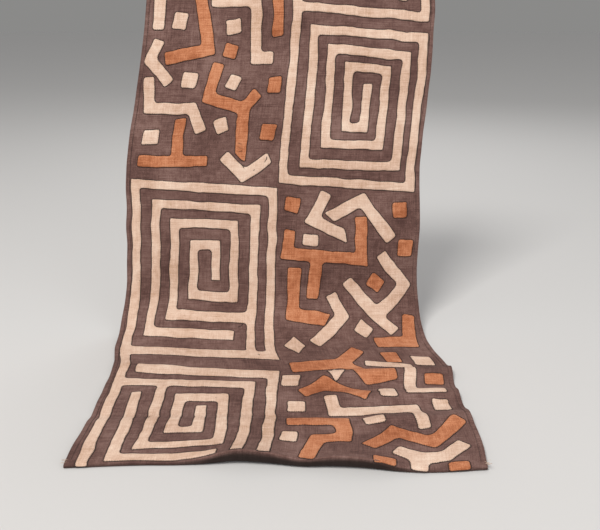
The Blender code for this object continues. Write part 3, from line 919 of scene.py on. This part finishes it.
# Colour, place across, place along, width, length, turn in degrees.
SQUARES = (
    ("cream", -26.5, 15.5, 3.4, 3.7, 3),
    ("cream", -13.5, 16.7, 3.4, 3.4, -8),
    ("orange", -13.5, 22.3, 3.3, 3.1, 12),
    ("cream", -22.5, 29, 3.6, 3.6, 5),
    ("cream", -12, 29.5, 3.1, 3.1, 22),
    ("orange", -2, 30, 3.3, 3.8, -4),
    ("cream", -30, 42.2, 4.0, 3.4, 3),
    ("cream", -13.5, 39.5, 3.2, 3.6, -22),
    ("orange", -2, 41, 3.6, 3.8, 3),
    ("orange", 4.7, 58, 3.4, 3.5, 12),
    ("orange", 30.3, 59.3, 3.4, 3.7, -3),
    ("cream", 9, 66.4, 3.8, 2.8, 3),
    ("orange", 31.9, 68.3, 3.6, 3.9, 2),
    ("orange", 25, 76.5, 3.6, 3.3, 34),
    ("cream", 21.3, 88.3, 3.3, 3.2, 40),
    ("cream", 5, 94.5, 3.6, 3.6, 45),
    ("orange", 24.5, 100.2, 3.6, 3.0, 0),
    ("cream", 30.6, 102, 4.2, 2.8, 5),
    ("cream", 11.2, 109, 3.0, 2.7, 45),
    ("orange", 31.0, 110.9, 3.9, 2.2, 0),
    ("cream", 2.1, 110.6, 3.5, 3.4, 0),
    ("cream", 21.2, 116.2, 3.4, 3.2, 0),
    ("cream", 30.9, 120.4, 3.2, 3.1, 0),
    ("cream", 3.2, 121, 3.4, 3.2, 2),
    ("cream", 17.2, 126.2, 3.7, 2.8, -4),
    ("cream", 1.6, 132.4, 2.9, 3.6, 4),
    ("orange", 18, 139.5, 4.0, 2.2, 0),
    ("orange", 30.3, 140, 3.6, 2.4, 0),
)
print("strips:", len(STRIPS), "squares:", len(SQUARES))

# %% [markdown]
# Each piece is cut, pressed, divided and laid on the face. The size of its cut is worked out as
# well: its width, and the length of a straight band of that width and the same area.

# %% Sewn pieces
PATCH_BASE = GROUND_THICK / 2 + 0.0002
PATCH_THICK = 0.0011
PATCH_SWELL = 0.18
PATCH_SWELL_SIZE = 0.01
# How dark the pressed margin is painted: shade along the cut edge, and dirt.
MARGIN_DIRT_AND_SHADE = 0.45
seams = []
sewn_pieces = []


def patch_thickness(across, along):
    """A sewn piece swells and dips a little between its stitches."""
    return PATCH_THICK * (1 + PATCH_SWELL * unevenness(across, along, PATCH_SWELL_SIZE, 31))


def patch_shading(across, along, share):
    """The pressed margin of a sewn piece is a little darker: painted edge shade, and dirt."""
    return MARGIN_DIRT_AND_SHADE * (1 - share)


def sew_on(node, mesh, colour, corner_cut, width):
    """Cut a plan by hand, lay it on the ground cloth and note its outline for the needle."""
    flat = (width * CM, sum(face.calc_area() for face in mesh.faces) / (width * CM))
    cut_by_hand(mesh, corner_cut, len(sewn_pieces))
    seams.extend(outlines(mesh))
    press_margin_and_divide(mesh)
    lay(mesh, PATCH_BASE, patch_thickness, patch_shading)
    piece = finish_piece("sewn_" + node, mesh, colour)
    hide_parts(node)
    sewn_pieces.append(piece)


for node, colour, width, share, routes in STRIPS:
    cut = MOTIF_CORNER_CUT if node.startswith(colour) else CORNER_CUT
    sew_on(node, strip_plan(routes, width, share), colour, cut, width)
for number, (colour, across, along, width, length, turn) in enumerate(SQUARES, 1):
    plan = square_plan(across, along, width, length, turn)
    sew_on(f"{colour}_square_{number:02d}", plan, colour, SQUARE_CORNER_CUT, width)
seam_run = sum(np.linalg.norm(np.roll(p, -1, 0) - p, axis=1).sum() for p in seams)
print(f"pieces: {len(sewn_pieces)}, outline to sew: {seam_run:.1f} m")

# %% [markdown]
# Around every piece runs a seam in dark raffia. A thread lies along the cut edge and makes the
# dark outline of the pattern. It is set a little out onto the ground cloth and made thick, so
# that it is also a painted shadow along the edge. Short stitches cross it, from the ground cloth
# up over the edge. One stitch is a slim bead of a few faces, and arrays place the thousands of
# copies, in one mesh for each kind.

# %% One stitch and its copies
THREAD_SWELL = (0.75, 1.2)
# A way in which no stitch runs, from which the sides of each are found.
ASIDE = (0.3, -0.9, 0.4)


def bead():
    """One stitch of unit size, its length along X: its points and faces."""
    mesh = bmesh.new()
    bmesh.ops.create_uvsphere(mesh, u_segments=4, v_segments=2, radius=1.0,
                              matrix=Matrix.Rotation(math.pi / 2, 4, "Y"))
    points = np.array([v.co[:] for v in mesh.verts])
    faces = [[v.index for v in face.verts] for face in mesh.faces]
    mesh.free()
    return points, faces


BEAD_POINTS, BEAD_FACES = bead()


def walk(path, pitch, closed):
    """Evenly spaced places and directions along a flat path."""
    points = np.vstack((path, path[:1])) if closed else path
    steps = np.linalg.norm(np.diff(points, axis=0), axis=1)
    marks = np.concatenate(((0,), np.cumsum(steps)))
    at = np.arange(pitch / 2, marks[-1], pitch)
    k = np.clip(np.searchsorted(marks, at) - 1, 0, len(steps) - 1)
    way = (points[k + 1] - points[k]) / np.maximum(steps[k], 1e-9)[:, None]
    return points[k] + way * (at - marks[k])[:, None], way


def copies(name, starts, ends, thick, colour, seed):
    """One mesh of many stitches, each from a start to an end."""
    middle = (starts + ends) / 2
    reach = (ends - starts) / 2
    upward = np.cross(reach, np.tile(ASIDE, (len(reach), 1)))
    side = upward / np.linalg.norm(upward, axis=1)[:, None]
    rise = np.cross(reach, side)
    rise = rise / np.linalg.norm(rise, axis=1)[:, None]
    swell = thick * np.random.default_rng(seed).uniform(*THREAD_SWELL, (len(reach), 1, 1))
    points = (middle[:, None] + BEAD_POINTS[None, :, :1] * reach[:, None]
              + BEAD_POINTS[None, :, 1:2] * side[:, None] * swell
              + BEAD_POINTS[None, :, 2:] * rise[:, None] * swell)
    count = len(BEAD_POINTS)
    faces = [[index + count * i for index in face]
             for i in range(len(reach)) for face in BEAD_FACES]
    data = bpy.data.meshes.new(name)
    data.from_pydata(points.reshape(-1, 3), [], faces)
    mesh = bmesh.new()
    mesh.from_mesh(data)
    bpy.data.meshes.remove(data)
    bmesh.ops.recalc_face_normals(mesh, faces=mesh.faces[:])
    return finish_piece(name, mesh, colour)


print("points in one stitch:", len(BEAD_POINTS))

# %% [markdown]
# The sewing thread is twisted raffia, dyed nearly black, and the fibres that fray out at the
# corners are pale. One finish serves for both: a fine noise changes its tone and raises its twist.

# %% Threads
THREAD_TWIST = 900.0
THREAD_ROUGHNESS = 0.75
THREAD_ROUGHNESS_BY_TONE = 0.2
THREAD_RELIEF = {"Strength": 0.4, "Distance": 0.0003}


def thread_finish(name, low, high):
    """Twisted thread: two tones along it."""
    finish = Finish(name)
    where = finish.node("TexCoord", output=3)
    tone = finish.node("TexNoise", {}, {"Vector": where, "Scale": THREAD_TWIST, "Detail": 2.0})
    finish.feed("Base Color", finish.mix(tone, low, high))
    finish.feed("Roughness", tone * THREAD_ROUGHNESS_BY_TONE + THREAD_ROUGHNESS)
    finish.feed("Normal", finish.node("Bump", {}, {**THREAD_RELIEF, "Height": tone}))
    return finish.material


FINISHES["thread"] = thread_finish("dark thread", (0.012, 0.007, 0.006, 1),
                                   (0.055, 0.03, 0.025, 1))
FINISHES["pale thread"] = thread_finish("pale thread", (0.40, 0.27, 0.19, 1),
                                        (0.75, 0.56, 0.43, 1))
print("threads:", ", ".join(key for key in FINISHES if "thread" in key))

# %% [markdown]
# Each kind of stitch has a row in a table, and one function sews it along every outline, each
# stitch with a slant of its own. On the back the needle comes out in longer, looser stitches.

# %% Sewing along the outlines
ON_FACE = GROUND_THICK / 2
ON_PATCH = PATCH_BASE + 1.05 * PATCH_THICK
ON_BACK = -GROUND_THICK / 2 - 0.0003
# Name, pitch, half length, least and most slant, shift out of the cut edge, half thickness,
# heights of the inner and of the outer end, seed.
STITCHES = (
    # The edge thread, set out from the cut and thick: dark thread and a painted shadow along the
    # edge.
    ("edge_threads_and_shadow", 0.0031, 0.0019, (0.05, 0.35), 0.0008, 0.0011,
     ON_FACE + 0.0006, ON_FACE + 0.0003, 5),
    ("cross_stitches", 0.0043, 0.0017, (0.95, 1.45), 0.0, 0.0006,
     ON_PATCH, ON_FACE + 0.0003, 7),
    ("back_stitches", 0.0065, 0.0022, (0.0, 0.2), 0.0, 0.0010, ON_BACK, ON_BACK, 9),
)


def stitch_ends(paths, closed, pitch, half, slant, offset, seed):
    """Flat start and end places of the stitches along all paths."""
    draws = np.random.default_rng(seed)
    starts = []
    ends = []
    for path in paths:
        spots, way = walk(path, pitch, closed)
        outward = np.stack((way[:, 1], -way[:, 0]), axis=1)
        lean = draws.uniform(slant[0], slant[1], (len(spots), 1))
        reach = (way * np.cos(lean) + outward * np.sin(lean)) * half
        middle = spots + outward * offset
        starts.append(middle - reach)
        ends.append(middle + reach)
    return np.vstack(starts), np.vstack(ends)


def stitch(name, pitch, half, slant, offset, thick, inner_height, outer_height, seed,
           paths=seams, closed=True):
    """One kind of stitch along every path."""
    inner, outer = stitch_ends(paths, closed, pitch, half, slant, offset, seed)
    rise = np.ones(len(inner))
    starts = place(inner[:, 0], inner[:, 1], rise * inner_height)
    ends = place(outer[:, 0], outer[:, 1], rise * outer_height)
    print(name, len(inner))
    return copies(name, starts, ends, thick, "thread", seed + 1)


edge_threads_and_shadow, cross_stitches, back_stitches = [stitch(*row) for row in STITCHES]

# %% [markdown]
# The hems are held by a plain running stitch about a centimetre in from the edge. It is made as
# the seams are, along open lines and without a slant.

# %% Hem stitches
HEM_END = 0.004
HEM_POINT_STEP = 0.01
ON_HEM = ON_FACE + 0.0005
HEM_STITCH = (0.0046, 0.0026, (0.0, 0.0), 0.0, 0.0008, ON_HEM, ON_HEM, 10)


def hem_line(side):
    """Places of the running stitch of one side hem."""
    along = np.arange(HEM_END, S_FRONT, HEM_POINT_STEP)
    across = side * (HALF_WIDTH - HEM_WIDTH - hem_wander(along))
    return np.stack((across, along), axis=1)


top_line = np.array([(-HALF_WIDTH + HEM_END, HEM_WIDTH), (HALF_WIDTH - HEM_END, HEM_WIDTH)])
hem_stitches = stitch("hem_stitches", *HEM_STITCH, (hem_line(-1), hem_line(1), top_line),
                      closed=False)

# %% [markdown]
# Here and there a fibre has worked loose, most of all at the two front corners, and some ends of
# the sewing thread were left long. Each is a thin tube of three sides, extruded ring by ring with
# a small random bend at every ring.

# %% Loose fibres
FIBRE_RINGS = 6
FIBRE_BEND = 0.35
FIBRE_LENGTHS = (0.5, 1.3)
FIBRE_HEIGHT = ON_FACE + 0.0014
HEADING_STEP = 0.002


def fibre(mesh, start, direction, length, thick, draws):
    """A loose fibre: a thin bent tube, extruded ring by ring."""
    ring = bmesh.ops.create_circle(mesh, segments=3, radius=thick, cap_ends=False,
                                   matrix=Matrix.Translation(start))["verts"]
    edges = list({e for v in ring for e in v.link_edges})
    bmesh.ops.contextual_create(mesh, geom=ring)
    way = Vector(direction).normalized()
    for _ in range(FIBRE_RINGS):
        grown = bmesh.ops.extrude_edge_only(mesh, edges=edges)["geom"]
        ring = [g for g in grown if isinstance(g, bmesh.types.BMVert)]
        edges = [g for g in grown if isinstance(g, bmesh.types.BMEdge)]
        way = (way + Vector(draws.uniform(-FIBRE_BEND, FIBRE_BEND, 3))).normalized()
        bmesh.ops.translate(mesh, verts=ring, vec=way * length / FIBRE_RINGS)
    bmesh.ops.contextual_create(mesh, geom=ring)


def loose_fibres(name, spots, length, thick, colour, seed):
    """Loose fibres: each spot is a place on the cloth and the flat way in which it points."""
    draws = np.random.default_rng(seed)
    mesh = bmesh.new()
    across, along, way_across, way_along = np.array(spots, float).T
    height = np.full(len(across), FIBRE_HEIGHT)
    roots = place(across, along, height)
    tips = place(across + way_across * HEADING_STEP, along + way_along * HEADING_STEP, height)
    for root, tip in zip(roots, tips):
        heading = (tip - root) / HEADING_STEP + draws.uniform(-FIBRE_BEND, FIBRE_BEND, 3)
        fibre(mesh, root, heading, length * draws.uniform(*FIBRE_LENGTHS), thick, draws)
    bmesh.ops.recalc_face_normals(mesh, faces=mesh.faces[:])
    return finish_piece(name, mesh, colour)


# Pale fibres of a frayed corner: how many, and how far apart they start across and along.
FRAY_COUNT = 9
FRAY_STEPS = (0.0012, 0.0015)
FRAY_LENGTH = 0.007
FRAY_THICK = 0.0004
corner_spots = [(side * (HALF_WIDTH - FRAY_STEPS[0] * (k % 4)), S_FRONT - FRAY_STEPS[1] * k,
                 side, 0.3) for side in (-1, 1) for k in range(FRAY_COUNT)]
fibres = loose_fibres("corner_fibres", corner_spots, FRAY_LENGTH, FRAY_THICK, "pale thread", 15)
LOOSE_END_LENGTH = 0.011
LOOSE_END_THICK = 0.0009
# Ends of the dark sewing thread left long: place across, place along, way across, way along.
LOOSE_ENDS = (
    (-8.9, 43.5, 1, 0.2),
    (-8.7, 44.6, 1, 0.1),
    (-8.6, 45.6, 1, 0.3),
    (-7.2, 48.6, 0.1, 1),
    (-4.6, 50.0, 0.6, -0.7),
    (-2.1, 48.0, 0.7, -0.6),
    (-7.0, 87.2, -0.6, 0.7),
    (-6.6, 86.6, -1, 0.2),
    (-3.9, 98.9, 0.8, 0.3),
    (-16.2, 60.6, 0.7, -0.7),
    (-31.9, 76.0, -0.4, -0.8),
    (-12.5, 118.2, 1, 0.1),
    (-25.0, 126.5, 1, -0.5),
)
end_spots = [(u * CM, s * CM, way_u, way_s) for u, s, way_u, way_s in LOOSE_ENDS]
loose_ends = loose_fibres("loose_ends", end_spots, LOOSE_END_LENGTH, LOOSE_END_THICK, "thread",
                          16)
print("loose fibres:", len(corner_spots) + len(end_spots))

# %% [markdown]
# With its needlework in place the ground cloth is finished.

print("needlework in place")

# %% [markdown]
# The studio is a pale floor and three soft lights: a strong one above and in front, and two weak
# ones, from the right and from behind, so that the shaded side and the back can be read as well.
# Pale air all round lights the rest.

# %% Floor and lights
AIM = (0.0, -0.35, -0.5)
LIGHT_SIZE = 1.6
FLOOR_SIZE = 12.0
FLOOR_DROP = 0.0003
FLOOR_COLOUR = (0.62, 0.61, 0.60, 1)
FLOOR_ROUGHNESS = 0.8
# Name, place, power in watts, colour.
LIGHTS = (
    ("key", (-1.4, -2.6, 3.3), 182, (1.0, 0.98, 0.95)),
    ("fill", (1.9, -2.4, 0.4), 14, (0.97, 0.98, 1.0)),
    ("back", (0.6, 2.2, 1.4), 20, (1.0, 1.0, 1.0)),
)


def soft_light(name, location, power, colour):
    """A square soft light that looks at the cloth."""
    light = bpy.data.lights.new(name, "AREA")
    light.shape = "SQUARE"
    light.size = LIGHT_SIZE
    light.energy = power
    light.color = colour
    lamp = bpy.data.objects.new(name, light)
    lamp.location = location
    lamp.rotation_euler = (Vector(AIM) - Vector(location)).to_track_quat("-Z", "Y").to_euler()
    bpy.context.scene.collection.objects.link(lamp)


floor_mesh = bmesh.new()
bmesh.ops.create_grid(floor_mesh, x_segments=1, y_segments=1, size=FLOOR_SIZE)
bmesh.ops.translate(floor_mesh, verts=floor_mesh.verts[:], vec=(0, 0, FLOOR_Z - FLOOR_DROP))
floor_data = bpy.data.meshes.new("studio floor")
floor_mesh.to_mesh(floor_data)
floor_mesh.free()
floor_finish = Finish("studio floor")
floor_finish.shader.inputs["Base Color"].default_value = FLOOR_COLOUR
floor_finish.shader.inputs["Roughness"].default_value = FLOOR_ROUGHNESS
floor_data.materials.append(floor_finish.material)
studio_floor = bpy.data.objects.new("studio floor", floor_data)
bpy.context.scene.collection.objects.link(studio_floor)
for light_row in LIGHTS:
    soft_light(*light_row)
print("lights:", len(LIGHTS))

# %% [markdown]
# The air is pale for the cloth, but the camera sees it in the far floor's own tone, so that no
# horizon shows behind the cloth.

# %% Air
AIR_COLOUR = (0.90, 0.90, 0.90, 1)
AIR_STRENGTH = 0.42
BACKDROP_COLOUR = (0.256, 0.254, 0.249, 1)
world = bpy.data.worlds.new("studio air")
world.use_nodes = True
air = world.node_tree.nodes["Background"]
air.inputs["Color"].default_value = AIR_COLOUR
air.inputs["Strength"].default_value = AIR_STRENGTH
backdrop = world.node_tree.nodes.new("ShaderNodeBackground")
backdrop.inputs["Color"].default_value = BACKDROP_COLOUR
seen_by = world.node_tree.nodes.new("ShaderNodeLightPath")
either = world.node_tree.nodes.new("ShaderNodeMixShader")
for output, entry in ((seen_by.outputs["Is Camera Ray"], either.inputs[0]),
                      (air.outputs[0], either.inputs[1]),
                      (backdrop.outputs[0], either.inputs[2]),
                      (either.outputs[0], world.node_tree.nodes["World Output"].inputs[0])):
    world.node_tree.links.new(output, entry)
bpy.context.scene.world = world
print("studio ready")
